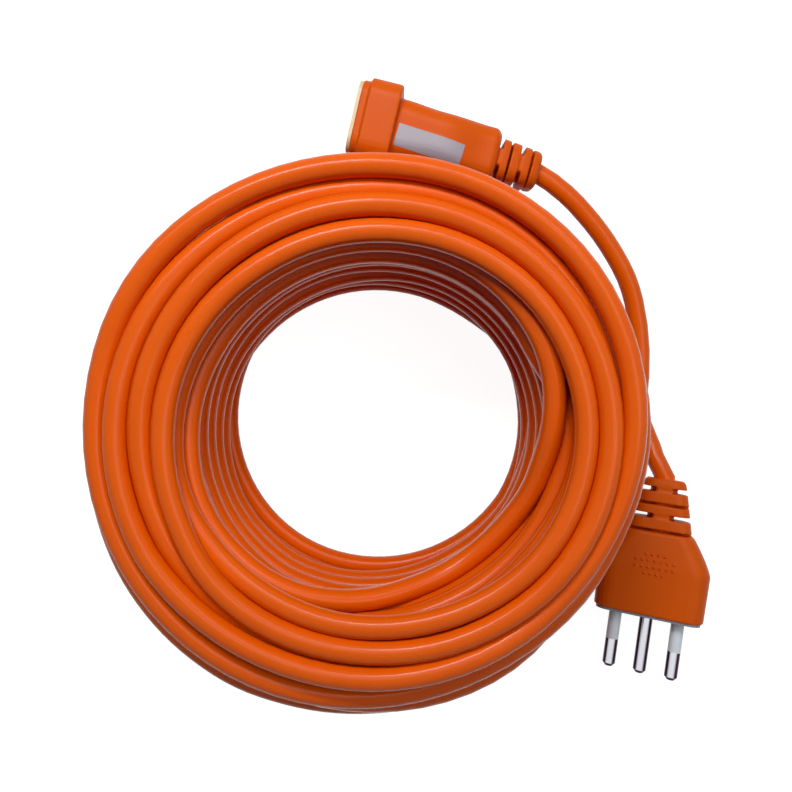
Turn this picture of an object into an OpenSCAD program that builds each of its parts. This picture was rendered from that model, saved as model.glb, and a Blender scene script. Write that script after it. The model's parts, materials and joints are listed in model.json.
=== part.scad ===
// Long three-core extension cord, wound into an upright round coil that lies on its flat side,
// with a moulded plug and a moulded socket.
// Both ends are of the 10 A kind with three round contacts in one line.
// Lengths are in millimetres. The cord rests on z = 0, and the origin lies under the middle
// of the whole object. The plug and the socket are each drawn with the front face on x = 0,
// looking along +x, with the broad side along y, and are then laid in their places.

/* [Cord] */
// Outer diameter of the round cord
cord_d = 6; // [5.6:0.1:6.6]
// Outer diameter of one insulated core
core_d = 2.2; // [2:0.1:2.4]
// Outer diameter of the coil
coil_outer_d = 136; // [124:1:148]
// Diameter of the coil's hole
coil_hole_d = 89; // [80:1:98]
// Height of the coil
coil_h = 73; // [60:1:86]

/* [Contacts] */
// Diameter of the three pins
pin_d = 4; // [3.8:0.1:4.2]
// Length of a pin in front of the plug's face
pin_len = 19; // [17:0.5:20]
// Distance from one pin to the next
pin_pitch = 9.5; // [9:0.1:10]
// Length of the insulating sleeve on a live pin, in front of the face
sleeve_len = 10; // [8:0.5:11]
// Wall of the insulating sleeve
sleeve_wall = 0.5; // [0.4:0.05:0.7]
// Room around a pin in the socket's holes
hole_gap = 0.2; // [0.1:0.05:0.4]

/* [Plug] */
// Width of the plug's broad side
plug_w = 33.2; // [31:0.2:37]
// Thickness of the plug
plug_t = 15.6; // [14:0.2:18]
// Length of the straight part behind the face
plug_straight = 15.5; // [13:0.5:19]
// Length of the shoulders that narrow towards the cord
plug_shoulder = 11.5; // [9:0.5:14]
// Length of the plug's ribbed strain relief
plug_relief_len = 17; // [14:0.5:20]

/* [Socket] */
// Width of the socket's collar
collar_w = 38; // [38:0.2:42]
// Thickness of the socket's collar
collar_t = 23.2; // [22:0.2:25]
// Length of the collar, without the face plate
collar_len = 11.6; // [9:0.2:14]
// Width of the socket's body
socket_w = 32; // [30:0.2:35]
// Thickness of the socket's body at the collar
socket_t = 17.6; // [16:0.2:19]
// Thickness of the socket's body at the end of its shoulders
socket_end_t = 16.4; // [14.4:0.2:18]
// Length of the straight part behind the collar
socket_straight = 17; // [15:0.5:22]
// Length of the shoulders that narrow towards the cord
socket_shoulder = 14.6; // [12:0.2:18]
// Length of the socket's ribbed strain relief
socket_relief_len = 13.8; // [12:0.2:18]

/* [Shutter] */
// How far the safety shutter slides
shutter_travel = 4.6; // [4.5:0.1:4.8]
// Thickness of the shutter
shutter_t = 1.8; // [1.2:0.1:2.2]

/* [Strain relief] */
// Width of a strain relief where it leaves the body
relief_w = 20; // [17:0.5:23]
// Width of a strain relief at its cord end
relief_end_w = 12.5; // [11.5:0.5:16]
// Thickness of a strain relief where it leaves the body
relief_t = 12.4; // [11:0.2:13]
// Thickness of a strain relief at its cord end
relief_end_t = 11.2; // [10:0.2:12]
// Number of ribs on a strain relief
relief_ribs = 4; // [3:1:5]
// Width of the links that join one rib to the next
link_w = 4.8; // [3:0.2:6]

/* [Hidden] */
$fn = 48;
HULL_FN = 32;      // facets of a round corner inside a hull
CORD_SIDES = 10;   // sides of a cord's tube and of a core
LIVE_L = -1;       // side of the line contact
LIVE_N = 1;        // side of the neutral contact
EARTH = 0;         // the earth contact is in the middle
eps = 0.01;        // overlap of joined shapes
cut = 1;           // how far a cutting shape runs past a face
skin = 0.2;        // thickness of the plates that a hull is drawn between
seat = 0.05;       // clearance between pieces that are moulded or pressed together
chamber_room = 0.4; // room around the cores where they leave the sheath
plug_draft = 0.4;  // how much wider the plug is behind its face than at it
slip = 0.2;        // clearance of the sliding shutter

// Where things lie
coil_at = [-6, -4];
plug_bearing = -34.9;   // from the middle of the coil to the plug's front, from +x
plug_off = 39.9;        // from the coil's outer wall to the plug's front
plug_turn = 262;        // direction of the pins, from +x
plug_roll = 20;         // the plug lies rolled on its left edge
socket_bearing = 93.2;  // from the middle of the coil to the socket's front
socket_off = 24.2;      // from the coil's outer wall to the socket's front
socket_turn = 166;      // direction of the mouth, from +x
socket_roll = 82;       // the socket stands on its narrow side, tilted by the cord

// Shapes worked out from the sizes above
cord_r = cord_d / 2;
core_r = core_d / 2;
pin_r = pin_d / 2;
hole_r = pin_r + hole_gap;
body_corner = 5;            // corner radius of the plug's and socket's section
plate_t = 0.8;              // face plate of the plug
plate_inset = 0.8;
face_t = 1;                 // face plate of the socket
face_inset = 1.4;
relief_gap_share = 0.36;    // share of a rib's pitch that is open
relief_wall = 1.1;          // tube inside the ribs
relief_core_r = cord_r + relief_wall;
relief_corner = 4;
relief_edge = 0.8;          // rounding of the strain relief's end
shoulder_step = 0.5;        // how far the shoulders stand out round the strain relief
shoulder_round = 2;         // rounding of the socket's shoulders at their end
plate_corner = 4;           // corner radius of the plates and of the front edges
chamber_side = 2.4;         // room beside a live core in the chambers of the cores
plug_chamber_run = 8.5;     // straight part of the plug's chamber
socket_chamber_run = 6;     // straight part of the socket's chamber

// Inside the plug
bridge_len = 9;             // depth of the pin carrier
bridge_side = 3.5;          // from a live pin's axis to the carrier's edge
bridge_w = 2 * (pin_pitch + bridge_side);
bridge_t = 9.2;
tip_len = 1;                // rounded end of a pin
flange_at = 1.6;            // depth of a pin's locking flange behind the front
flange_len = 1.2;
flange_r = pin_r + 0.6;
root_r = pin_r - 0.2;
neck_gap = 0.2;             // how much thinner a pin is inside the carrier's front
tip_bevel = 0.8;
crimp_off = 1;              // from the pin carrier's back to a crimp
crimp_len = 6;
crimp_wall = 0.4;
crimp_r = core_r + crimp_wall;
crimp_in = 5;               // length of core inside a crimp
crimp_room = 0.5;           // free depth in front of the core's end
plug_len = plug_straight + plug_shoulder;
plug_sheath_in = 2.5;       // length of sheath in front of the strain relief
plug_sheath_at = plug_len - plug_sheath_in;

// Inside the socket
boss_t = 2.2;               // part of the face behind its plate
tray_side = 7.9;            // from a live contact's axis to the tray's edge
tray_w = 2 * (pin_pitch + tray_side);
tray_t = 17.2;
tray_corner = 4;
tray_floor = 1.8;
shutter_room = shutter_t + 2 * slip;
tray_front = face_t + boss_t;
tray_depth = shutter_room + tray_floor;
contact_at = tray_front + tray_depth;
contact_len = 12.6;
contact_wall = 0.9;
contact_r = pin_r + contact_wall;
contact_slot = 0.8;         // slot between a contact's two springing halves
block_len = contact_len + 2;
block_side = 3.9;           // from a live contact's axis to the block's edge
block_w = 2 * (pin_pitch + block_side);
block_t = 10.8;
socket_len = face_t + collar_len + socket_straight + socket_shoulder;
socket_sheath_in = 5;       // length of sheath in front of the strain relief
socket_sheath_at = socket_len - socket_sheath_in;
blade_lap = 0.2;            // how far a blade covers each side of a hole
blade_w = 2 * (hole_r + blade_lap);
shutter_half_h = 4.3;
rail_h = 1.4;
lug_h = 2.9;
lug_w = 1.5;
spring_len = 12;
spring_r = 0.95;
spring_wire_r = 0.2;
spring_turns = 7;

// Points of a tail's middle line, chosen by hand, from its strain relief to the coil. Each has
// its angle round the coil, its distance from the coil's outer wall, and its height.
SOCKET_ROUTE = [[50, 26, 18.5], [40, 26, 16], [30, 25.8, 13.2], [21, 23.8, 11], [11, 20.5, 10],
    [1, 17.2, 9.7], [-9, 14.5, 9.4], [-19, 13.2, 8], [-29, 14.2, 5.2], [-39, 17, 3.6], [-49, 21, 3],
    [-59, 22.5, 3], [-69, 21, 3], [-79, 17, 3], [-89, 12.5, 3], [-101, 8, 3], [-114, 5, 3],
    [-128, 2.5, 3], [-140, -1, 3]];
PLUG_ROUTE = [[-7, 25, 8.5], [-3, 23, 6.2], [1, 21, 4.2], [11, 19, 3], [21, 18.5, 3], [30, 18.5, 3],
    [40, 18, 3], [50, 16.5, 3], [60, 14, 3], [69, 11, 3], [79, 8, 3], [89, 6.5, 3], [99, 6.5, 3],
    [111, 8, 3], [123, 10.5, 3], [139, 15, 3], [154, 19.5, 3], [169, 22.5, 3], [184, 25, 3],
    [199, 27, 3], [215, 28.5, 3], [230, 29, 3], [240, 29, 3], [251, 28, 3], [261, 27, 3.4],
    [271, 25, 6], [281, 22.5, 9], [291, 19.5, 9.8], [301, 18, 9.6], [311, 17, 9.6],
    [321, 13.5, 9.8], [332, 9.2, 9.8], [341, 5, 9], [351, -1, 9]];

// ---------- placing ----------

function turned(v, roll, turn) = let(
        y = v.y * cos(roll) - v.z * sin(roll),
        z = v.y * sin(roll) + v.z * cos(roll))
    [v.x * cos(turn) - y * sin(turn), v.x * sin(turn) + y * cos(turn), z];

// Height at which a rolled body of half width w, half thickness t and corner radius r just rests
function rest_height(w, t, r, roll) = (w - r) * sin(roll) + (t - r) * cos(roll) + r;

// A point at an angle round the coil, a distance outside its outer wall, at height z
function round_coil(angle, off, z = 0) = let(r = coil_outer_d / 2 + off)
    [coil_at.x + r * cos(angle), coil_at.y + r * sin(angle), z];

plug_at = round_coil(plug_bearing, plug_off);
socket_at = round_coil(socket_bearing, socket_off);
plug_z = rest_height((plug_w + plug_draft) / 2, plug_t / 2, body_corner, plug_roll);
socket_z = rest_height(collar_w / 2, collar_t / 2, body_corner, socket_roll);

function in_plug(v) = turned(v, plug_roll, plug_turn) + [plug_at.x, plug_at.y, plug_z];
function in_socket(v) = turned(v, socket_roll, socket_turn) + [socket_at.x, socket_at.y, socket_z];

module place_plug() {
    translate([plug_at.x, plug_at.y, plug_z]) rotate([0, 0, plug_turn]) rotate([plug_roll, 0, 0])
        children();
}

module place_socket() {
    translate([socket_at.x, socket_at.y, socket_z]) rotate([0, 0, socket_turn])
        rotate([socket_roll, 0, 0]) children();
}

// ---------- shared shapes ----------

// A round bar along x, from x = from to x = to
module rod(r, from, to) {
    translate([from, 0, 0]) rotate([0, 90, 0]) cylinder(r = r, h = to - from);
}

// A box from x = from to x = to, w wide and t thick
module bar(from, to, w, t) {
    translate([from, -w / 2, -t / 2]) cube([to - from, w, t]);
}

// A thin rounded plate whose back lies at x, for hulls
module section(x, w, t, r) {
    translate([x, 0, 0]) rotate([90, 0, 90]) linear_extrude(height = skin)
        for (i = [-1, 1], j = [-1, 1])
            translate([i * (w / 2 - r), j * (t / 2 - r)]) circle(r = r, $fn = HULL_FN);
}

// A straight rounded block along x, w wide and t thick
module rounded_bar(from, to, w, t, r) {
    translate([from, 0, 0]) rotate([90, 0, 90]) linear_extrude(height = to - from)
        rounded_rect(w, t, r);
}

module rounded_rect(w, t, r) {
    square([w - 2 * r, t], center = true);
    square([w, t - 2 * r], center = true);
    for (i = [-1, 1], j = [-1, 1])
        translate([i * (w / 2 - r), j * (t / 2 - r)]) circle(r = r);
}

// The tapered outside of a strain relief that starts at depth `at`
module relief_blank(at, length) {
    hull() {
        section(-at, relief_w, relief_t, relief_corner);
        section(-at - length + relief_edge, relief_end_w, relief_end_t, relief_corner);
        section(-at - length, relief_end_w - 2 * relief_edge, relief_end_t - 2 * relief_edge,
            relief_corner - relief_edge);
    }
}

// The open gaps between ribs. Links stay at the narrow sides and at the broad sides in turn.
module relief_gaps(at, length) {
    pitch = length / relief_ribs;
    gap = pitch * relief_gap_share;
    reach = relief_w + 2 * cut;
    for (i = [0 : relief_ribs - 1]) difference() {
        bar(-at - i * pitch - gap, -at - i * pitch, reach, reach);
        rod(relief_core_r, -at - i * pitch - gap - cut, -at - i * pitch + cut);
        bar(-at - i * pitch - gap - cut, -at - i * pitch + cut,
            i % 2 == 0 ? reach + cut : link_w, i % 2 == 0 ? link_w : reach + cut);
    }
}

// A space for three cores, wide at the front and as narrow as the cord at the back
module core_chamber(front, straight, back, half_w) {
    neck = cord_r + chamber_room;
    translate([0, 0, -neck]) linear_extrude(height = 2 * neck)
        polygon([[-front, half_w], [-straight, half_w], [-back, neck],
            [-back, -neck], [-straight, -half_w], [-front, -half_w]]);
}

// Where a core leaves the sheath: three cores lie in a triangle
function core_start(side) = side == EARTH ? [0, core_r * 1.2]
    : [side * core_r * 1.04, -core_r * 0.6];

// A value that eases from 0 to 1 as t does
function eased(t) = let(u = min(max(t, 0), 1)) u * u * (3 - 2 * u);

// One insulated core: straight out of the sheath at depth `back`, across in an easy bend,
// and straight into its crimp, whose open end is at depth `crimp_end`
module core_run(side, back, crimp_end) {
    s = core_start(side);
    front = crimp_end - crimp_in;
    lead = 1;
    bend = back - crimp_end - 2 * lead;
    steps = 8;
    tube(concat([[-back, s.x, s.y]],
        [for (i = [0 : steps]) let(e = eased(i / steps))
            [-back + lead + bend * i / steps, s.x + (side * pin_pitch - s.x) * e, s.y * (1 - e)]],
        [[-front, side * pin_pitch, 0]]), core_r, CORD_SIDES);
}

// A tube swept along points, with a ring of sides at each point
function tangent(p, i) = let(a = p[max(i - 1, 0)], b = p[min(i + 1, len(p) - 1)])
    (b - a) / norm(b - a);
function ring(p, i, r, n) = let(
        t = tangent(p, i),
        s = cross(t, [0, 0, 1]) / norm(cross(t, [0, 0, 1])),
        u = cross(s, t))
    [for (k = [0 : n - 1]) let(a = (k + 0.5) * 360 / n) p[i] + r * cos(a) * s + r * sin(a) * u];

module tube(p, r, n) {
    m = len(p);
    walls = [for (i = [0 : m - 2], k = [0 : n - 1]) let(j = (k + 1) % n)
        each [[i * n + k, i * n + j, (i + 1) * n + j], [i * n + k, (i + 1) * n + j, (i + 1) * n + k]]];
    first = [for (k = [0 : n - 1]) n - 1 - k];
    last = [for (k = [0 : n - 1]) (m - 1) * n + k];
    polyhedron(points = [for (i = [0 : m - 1]) each ring(p, i, r, n)],
        faces = concat([first], walls, [last]));
}

// ---------- cord ----------

module cord_coil() {
    inner = coil_hole_d / 2;
    outer = coil_outer_d / 2;
    r = cord_r;
    edge = 1.4 * r;     // the outermost turn at the top lies lower by this much
    color("darkorange") translate([coil_at.x, coil_at.y, 0]) rotate_extrude($fn = 96)
        offset(r = r, $fn = HULL_FN) polygon([[inner + r, r], [outer - r, r],
            [outer - r, coil_h - r - edge], [outer - r - edge, coil_h - r],
            [inner + r, coil_h - r]]);
}

module socket_tail() {
    color("darkorange") tube(concat([in_socket([-socket_sheath_at, 0, 0]),
        in_socket([-socket_len, 0, 0]), in_socket([-socket_len - socket_relief_len, 0, 0])],
        [for (p = SOCKET_ROUTE) round_coil(p.x, p.y, p.z)]), cord_r, CORD_SIDES);
}

module plug_tail() {
    color("darkorange") tube(concat([in_plug([-plug_sheath_at, 0, 0]),
        in_plug([-plug_len, 0, 0]), in_plug([-plug_len - plug_relief_len, 0, 0])],
        [for (p = PLUG_ROUTE) round_coil(p.x, p.y, p.z)]), cord_r, CORD_SIDES);
}

// ---------- plug ----------

module plug_overmould() {
    color("orangered") place_plug() difference() {
        union() {
            hull() {
                section(-plate_t - skin, plug_w, plug_t, body_corner);
                section(-plug_straight, plug_w + plug_draft, plug_t, body_corner);
                section(-plug_len, relief_w + 2 * shoulder_step, relief_t + 2 * shoulder_step,
                    body_corner);
            }
            relief_blank(plug_len, plug_relief_len);
        }
        relief_gaps(plug_len, plug_relief_len);
        bar(-bridge_len - seat, cut, bridge_w + 2 * seat, bridge_t + 2 * seat);
        core_chamber(bridge_len, bridge_len + plug_chamber_run, plug_sheath_at,
            pin_pitch + chamber_side);
        rod(cord_r + seat, -plug_len - plug_relief_len - cut, -plug_sheath_at + cut);
    }
}

// The pin carrier: a plate across the front, with a block behind it that holds the pins
module plug_face() {
    color("lightgray") place_plug() difference() {
        union() {
            rounded_bar(-plate_t, 0, plug_w - 2 * plate_inset, plug_t - 2 * plate_inset, plate_corner);
            bar(-bridge_len, -plate_t, bridge_w, bridge_t);
        }
        for (side = [LIVE_L, EARTH, LIVE_N]) translate([0, side * pin_pitch, 0]) {
            rod(pin_r + seat, -flange_at, cut);
            rod(flange_r + seat, -flange_at - flange_len - seat, -flange_at + seat);
            rod(root_r + seat, -bridge_len - cut, -flange_at - flange_len);
        }
    }
}

// One pin. A live pin is turned down where its sleeve sits, and each is a little thinner
// inside the carrier, so that its full size starts at the plug's face.
module pin(side) {
    live = side != EARTH;
    shank = pin_len - tip_len;
    flange_back = flange_at + flange_len;
    crimp_back = bridge_len + crimp_off + crimp_len;
    translate([0, side * pin_pitch, 0]) difference() {
        union() {
            rod(live ? pin_r - sleeve_wall : pin_r - neck_gap, -flange_at,
                (live ? sleeve_len : 0) + eps);
            rod(pin_r, live ? sleeve_len : 0, shank);
            translate([shank, 0, 0]) rotate([0, 90, 0])
                cylinder(r1 = pin_r, r2 = pin_r - tip_bevel, h = tip_len);
            rod(flange_r, -flange_back, -flange_at);
            rod(root_r, -bridge_len - crimp_off, -flange_back);
            rod(crimp_r, -crimp_back, -bridge_len - crimp_off);
        }
        rod(core_r + seat, -crimp_back - cut, -crimp_back + crimp_in + crimp_room);
    }
}

module line_pin() { color("silver") place_plug() pin(LIVE_L); }
module neutral_pin() { color("silver") place_plug() pin(LIVE_N); }
module earth_pin() { color("silver") place_plug() pin(EARTH); }

module pin_sleeve(side) {
    translate([0, side * pin_pitch, 0]) difference() {
        union() {
            rod(pin_r - neck_gap, -flange_at + seat, eps);
            rod(pin_r, 0, sleeve_len);
        }
        rod(pin_r - sleeve_wall + seat / 2, -flange_at, sleeve_len + cut);
    }
}

module line_pin_sleeve() { color("gainsboro") place_plug() pin_sleeve(LIVE_L); }
module neutral_pin_sleeve() { color("gainsboro") place_plug() pin_sleeve(LIVE_N); }

module plug_core(side) {
    place_plug() core_run(side, plug_sheath_at - seat, bridge_len + crimp_off + crimp_len);
}

module plug_line_core() { color("saddlebrown") plug_core(LIVE_L); }
module plug_neutral_core() { color("royalblue") plug_core(LIVE_N); }
module plug_earth_core() { color("yellowgreen") plug_core(EARTH); }

// ---------- socket ----------

module socket_overmould() {
    collar_back = face_t + collar_len;
    shoulder_at = collar_back + socket_straight;
    color("orangered") place_socket() difference() {
        union() {
            hull() {
                section(-face_t - skin, collar_w - 2 * face_inset, collar_t - 2 * face_inset,
                    plate_corner);
                section(-face_t - face_inset - skin, collar_w, collar_t, body_corner);
            }
            rounded_bar(-collar_back, -face_t - face_inset, collar_w, collar_t, body_corner);
            hull() {
                section(-collar_back + 1, socket_w, socket_t, body_corner);
                section(-shoulder_at, socket_w, socket_end_t, body_corner);
                section(-socket_len + shoulder_round, relief_w + 2 * shoulder_round, socket_end_t,
                    body_corner);
                section(-socket_len, relief_w + 2 * shoulder_step, relief_t + 2 * shoulder_step,
                    body_corner);
            }
            relief_blank(socket_len, socket_relief_len);
        }
        relief_gaps(socket_len, socket_relief_len);
        rounded_bar(-tray_front - tray_depth - seat, 0, tray_w + 2 * seat, tray_t + 2 * seat,
            tray_corner + seat);
        bar(-contact_at - block_len - seat, -contact_at, block_w + 2 * seat, block_t + 2 * seat);
        core_chamber(contact_at + block_len, contact_at + block_len + socket_chamber_run,
            socket_sheath_at, pin_pitch + chamber_side);
        rod(cord_r + seat, -socket_len - socket_relief_len - cut, -socket_sheath_at + cut);
    }
}

// The face: a plate that shows at the mouth, with three holes, on a boss that closes the tray
module socket_face() {
    color("wheat") place_socket() difference() {
        union() {
            rounded_bar(-face_t, 0, collar_w - 2 * face_inset, collar_t - 2 * face_inset,
                plate_corner);
            rounded_bar(-tray_front, -face_t, tray_w, tray_t, tray_corner);
        }
        for (side = [LIVE_L, EARTH, LIVE_N]) translate([0, side * pin_pitch, 0])
            rod(hole_r, -tray_front - cut, cut);
    }
}

// The contact block: a tray that the shutter slides in, and three chambers for the contacts
module contact_block() {
    room_top = shutter_half_h + slip;
    left = pin_pitch + blade_w / 2 + slip;
    color("dimgray") place_socket() difference() {
        union() {
            rounded_bar(-contact_at, -tray_front - seat, tray_w, tray_t, tray_corner);
            bar(-contact_at - block_len, -contact_at, block_w, block_t);
        }
        translate([-tray_front - shutter_room, -left, -room_top])
            cube([shutter_room + cut, 2 * left + shutter_travel, 2 * room_top]);
        translate([-tray_front - shutter_room, -left, room_top - eps])
            cube([shutter_room + cut, lug_w + 2 * slip + spring_len, lug_h + slip]);
        for (side = [LIVE_L, EARTH, LIVE_N]) translate([0, side * pin_pitch, 0]) {
            rod(hole_r, -contact_at - cut, -tray_front);
            rod(contact_r + seat, -contact_at - contact_len - seat, -contact_at + seat);
            rod(crimp_r + seat, -contact_at - block_len - cut, -contact_at - contact_len);
        }
    }
}

// The shutter: two blades in front of the live contacts, joined by rails, with a lug for its spring.
// The blades' edges are sloped, so two pins together push it aside.
module shutter() {
    half = blade_w / 2;
    slope = 0.9;
    ends = pin_pitch + half;
    color("ivory") place_socket() translate([-tray_front - slip - shutter_t, 0, 0]) {
        for (side = [LIVE_L, LIVE_N])
            translate([0, side * pin_pitch, -shutter_half_h]) linear_extrude(height = 2 * shutter_half_h)
                polygon([[0, -half], [shutter_t - slope, -half], [shutter_t, slope - half],
                    [shutter_t, half], [0, half]]);
        for (j = [-1, 1])
            translate([0, -ends, j > 0 ? shutter_half_h - rail_h : -shutter_half_h])
                cube([shutter_t - slope, 2 * ends, rail_h]);
        translate([0, -ends, shutter_half_h - eps]) cube([shutter_t, lug_w, lug_h]);
    }
}

module shutter_spring() {
    steps = 10;
    start = -pin_pitch - blade_w / 2 + lug_w + spring_wire_r + seat;
    run = spring_len - 2 * spring_wire_r - 2 * seat + slip;
    mean_r = spring_r - spring_wire_r;
    middle = [-tray_front - shutter_room / 2, start, shutter_half_h + lug_h / 2 + slip / 2];
    color("gray") place_socket() tube([for (i = [0 : steps * spring_turns])
        let(a = 360 * i / steps)
        middle + [mean_r * cos(a), run * i / (steps * spring_turns), mean_r * sin(a)]],
        spring_wire_r, 6);
}

// One contact: a slotted spring sleeve that grips the pin, with a crimp for its core
module contact(side) {
    back = contact_at + contact_len;
    base = 1.2;         // solid end between the pin's room and the crimp
    slot_from = 3;      // the slot stops this far from the back
    translate([0, side * pin_pitch, 0]) difference() {
        union() {
            rod(contact_r, -back, -contact_at);
            rod(crimp_r, -back - crimp_len, -back);
        }
        rod(pin_r + seat, -back + base, cut);
        rod(core_r + seat, -back - crimp_len - cut, -back - crimp_len + crimp_in + crimp_room);
        bar(-back + slot_from, cut, contact_slot, 2 * contact_r + cut);
    }
}

module line_contact() { color("goldenrod") place_socket() contact(LIVE_L); }
module neutral_contact() { color("goldenrod") place_socket() contact(LIVE_N); }
module earth_contact() { color("goldenrod") place_socket() contact(EARTH); }

module socket_core(side) {
    place_socket() core_run(side, socket_sheath_at - seat, contact_at + contact_len + crimp_len);
}

module socket_line_core() { color("saddlebrown") socket_core(LIVE_L); }
module socket_neutral_core() { color("royalblue") socket_core(LIVE_N); }
module socket_earth_core() { color("yellowgreen") socket_core(EARTH); }

cord_coil();
socket_tail();
plug_tail();
plug_overmould();
plug_face();
line_pin();
neutral_pin();
earth_pin();
line_pin_sleeve();
neutral_pin_sleeve();
plug_line_core();
plug_neutral_core();
plug_earth_core();
socket_overmould();
socket_face();
contact_block();
shutter();
shutter_spring();
line_contact();
neutral_contact();
earth_contact();
socket_line_core();
socket_neutral_core();
socket_earth_core();
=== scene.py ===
"""Looks of the extension cord: a round orange cord wound into an upright coil, its moulded
plug and its moulded socket. Lengths are in millimetres until they go into a mesh. The camera, the
lamps and the floor are given in metres."""
import math

import bmesh
import bpy
import numpy as np
from mathutils import Matrix, Vector
from mathutils.bvhtree import BVHTree
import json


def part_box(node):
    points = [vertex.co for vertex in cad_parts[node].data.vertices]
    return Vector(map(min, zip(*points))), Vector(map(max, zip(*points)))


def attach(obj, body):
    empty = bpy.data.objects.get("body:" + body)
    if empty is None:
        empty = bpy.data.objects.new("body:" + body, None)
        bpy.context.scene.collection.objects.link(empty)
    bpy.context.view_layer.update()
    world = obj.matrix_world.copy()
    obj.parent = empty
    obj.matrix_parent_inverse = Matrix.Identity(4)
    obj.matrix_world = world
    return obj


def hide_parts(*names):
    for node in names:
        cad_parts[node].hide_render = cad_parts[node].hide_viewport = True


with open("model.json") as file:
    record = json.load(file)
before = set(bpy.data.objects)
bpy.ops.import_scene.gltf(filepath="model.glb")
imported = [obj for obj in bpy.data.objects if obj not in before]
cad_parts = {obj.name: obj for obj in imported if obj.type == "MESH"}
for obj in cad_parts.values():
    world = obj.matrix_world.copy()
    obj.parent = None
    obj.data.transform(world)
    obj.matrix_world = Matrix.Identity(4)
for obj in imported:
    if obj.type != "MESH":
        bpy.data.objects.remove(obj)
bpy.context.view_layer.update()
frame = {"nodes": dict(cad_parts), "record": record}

MM = 0.001
TINY = 1e-9                 # keeps a division off zero
FAR = 1e4                   # a distance over which nothing is pushed

# ---------- sizes and places from the frame ----------


def coil_circle():
    """Middle and outer radius of the coil."""
    low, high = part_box("cord_coil")
    middle = tuple(round((low[k] + high[k]) / 2 / MM, 3) for k in (0, 1))
    return middle, round((high[0] - low[0]) / 2 / MM, 3)


def mount_height(name):
    """Height of a mount's point."""
    mount = next(m for m in frame["record"]["mounts"] if m["name"] == name)
    return round(mount["pos_m"][2] / MM, 3)


COIL_AT, COIL_R = coil_circle()
PLUG = dict(bearing=-34.9, off=39.9, turn=262, roll=20, z=mount_height("earth_pin"))
SOCKET = dict(bearing=93.2, off=24.2, turn=166, roll=82, z=mount_height("earth_hole"))

# ---------- sizes that repeat the part's source ----------

CORD_D = 6.0
HOLE_R = 44.5
SEAT = 0.05                 # clearance between pieces that are moulded or pressed together

PLUG_W, PLUG_T = 33.2, 15.6
PLUG_STRAIGHT, PLUG_SHOULDER, PLUG_RELIEF = 15.5, 11.5, 17
PLUG_LEN = PLUG_STRAIGHT + PLUG_SHOULDER
PLUG_FRONT = 0.8            # the plug's body starts this far behind its plate's face
PLUG_SWELL = 0.4            # how much wider it is at the end of its straight part
PLUG_SHEATH_AT = PLUG_LEN - 2.5         # depth at which the cord's sheath ends inside
BRIDGE = dict(w=26.0, t=9.2, corner=0.25, depth=9.0)    # the pin carrier inside the plug

COLLAR_W, COLLAR_T, COLLAR_BACK = 38.0, 23.2, 12.6
SOCKET_W, SOCKET_T, SOCKET_CORNER = 32.0, 17.6, 5.0
SOCKET_STRAIGHT, SOCKET_SHOULDER, SOCKET_RELIEF = 17, 14.6, 13.8
SOCKET_LEN = COLLAR_BACK + SOCKET_STRAIGHT + SOCKET_SHOULDER
SOCKET_FRONT = 1.0          # the socket's body starts this far behind its plate's face
SOCKET_SHEATH_AT = SOCKET_LEN - 5
TRAY = dict(w=34.8, t=17.2, corner=4.0, depth=8.7)      # the shutter's tray in the socket

RELIEF = dict(w=20.0, end_w=12.5, t=12.4, end_t=11.2, ribs=4, corner=4.0, edge=0.8,
              core=CORD_D / 2 + 1.1)

# Points of a tail's middle line, given one by one: the angle round the coil, the distance from
# the coil's outer wall, and the height. The socket's run from its strain relief to the coil, the
# plug's from its strain relief to the coil.
SOCKET_ROUTE = [(50, 26, 18.5), (40, 26, 16), (30, 25.8, 13.2), (21, 23.8, 11), (11, 20.5, 10),
                (1, 17.2, 9.7), (-9, 14.5, 9.4), (-19, 13.2, 8), (-29, 14.2, 5.2), (-39, 17, 3.6),
                (-49, 21, 3), (-59, 22.5, 3), (-69, 21, 3), (-79, 17, 3), (-89, 12.5, 3),
                (-101, 8, 3), (-114, 5, 3), (-128, 2.5, 3), (-140, -1, 3)]
PLUG_ROUTE = [(-7, 25, 8.5), (-3, 23, 6.2), (1, 21, 4.2), (11, 19, 3), (21, 18.5, 3), (30, 18.5, 3),
              (40, 18, 3), (50, 16.5, 3), (60, 14, 3), (69, 11, 3), (79, 8, 3), (89, 6.5, 3),
              (99, 6.5, 3), (111, 8, 3), (123, 10.5, 3), (139, 15, 3), (154, 19.5, 3),
              (169, 22.5, 3), (184, 25, 3), (199, 27, 3), (215, 28.5, 3), (230, 29, 3),
              (240, 29, 3), (251, 28, 3), (261, 27, 3.4), (271, 25, 6), (281, 22.5, 9),
              (291, 19.5, 9.8), (301, 18, 9.6), (311, 17, 9.6), (321, 13.5, 9.8),
              (332, 9.2, 9.8), (341, 5, 9), (351, -1, 9)]

# ---------- camera ----------

CAMERA_AT = (-0.0045, -0.0025, 0.250)
BELOW_PX = (377.8, 418.2)   # pixel of the photograph that lies straight below the camera
FOCAL_PX = 737.0            # focal length in pixels of a picture IMAGE_PX wide
IMAGE_PX = 792.0
SENSOR_MM = 36.0
CLIP_START = 0.01

# ---------- the cord's turns ----------

RING_STEP = 5               # degrees round the coil from one point of the cord to the next
PER_TURN = 360 // RING_STEP
RING_SPACING = 5.5          # distance along the cord from one ring of the tube to the next
CORD_SIDES = 14

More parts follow.
